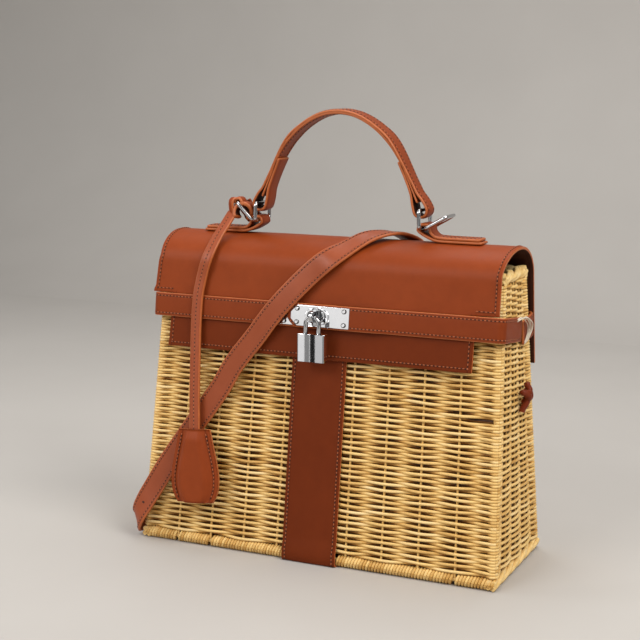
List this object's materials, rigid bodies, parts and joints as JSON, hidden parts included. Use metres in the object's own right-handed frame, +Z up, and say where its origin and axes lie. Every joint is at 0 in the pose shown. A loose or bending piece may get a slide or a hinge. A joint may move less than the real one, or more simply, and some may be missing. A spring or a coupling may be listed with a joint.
{
  "type": "basket box bag",
  "caption": "Tapered woven basket bag under a leather flap, closed by belts with a turn lock and hanging padlock, with a top handle, a shoulder strap and a key bell on a lace.",
  "frame": {"origin": "middle of the foot, on the surface the bag stands on", "axes": "+Z up, +X to the right when the lock is seen from in front, -Y towards the front"},
  "size_m": [0.299, 0.1854, 0.3293],
  "materials": {
    "straw": "pale split cane, satin",
    "leather": "tan leather, smooth, with stitched and painted edges",
    "chrome": "polished",
    "thread": "waxed thread"
  },
  "bodies": {
    "bag": {"front_weave": "straw", "back_weave": "straw", "left_weave": "straw", "right_weave": "straw", "front_left_post": "straw", "front_right_post": "straw", "back_left_post": "straw", "back_right_post": "straw", "woven_floor": "straw", "foot_border": "straw", "top_rim": "straw", "flap": "leather", "front_band": "leather", "left_belt": "leather", "right_belt": "leather", "back_belt": "leather", "left_tab": "leather", "right_tab": "leather", "lace_knot": "leather", "bell_lace": "leather", "key_bell": "leather", "shoulder_strap": "leather", "left_knot": "leather", "right_knot": "leather", "left_plate": "chrome", "right_plate": "chrome", "plate_rivets": "chrome", "lock_post": "chrome", "left_handle_ring": "chrome", "right_handle_ring": "chrome", "left_strap_ring": "chrome", "left_tie": "thread", "right_tie": "thread"},
    "handle_grip": {"handle": "leather"},
    "knob": {"turn_knob": "chrome"},
    "hanging_shackle": {"shackle": "chrome"},
    "padlock": {"padlock_body": "chrome"},
    "free_ring": {"right_strap_ring": "chrome"}
  },
  "joints": [
    {"name": "handle_tilt", "type": "hinge", "parent": "bag", "child": "handle_grip", "pos_m": [0, 0, 0.258], "axis": [1, 0, 0], "range_deg": [-20, 20]},
    {"name": "knob_turn", "type": "hinge", "parent": "bag", "child": "knob", "pos_m": [0, -0.03137, 0.18025], "axis": [0, -0.9922, 0.1246], "range_deg": [0, 90]},
    {"name": "padlock_swing", "type": "hinge", "parent": "knob", "child": "hanging_shackle", "pos_m": [0, -0.05022, 0.18212], "axis": [-1, 0, 0], "range_deg": [0, 75]},
    {"name": "padlock_open", "type": "slide", "parent": "hanging_shackle", "child": "padlock", "axis": [0, 0, -1], "range_m": [0, 0.005]},
    {"name": "ring_swing", "type": "hinge", "parent": "bag", "child": "free_ring", "pos_m": [0.0691, 0, 0.245], "axis": [0, -1, 0], "range_deg": [-40, 35]}
  ]
}
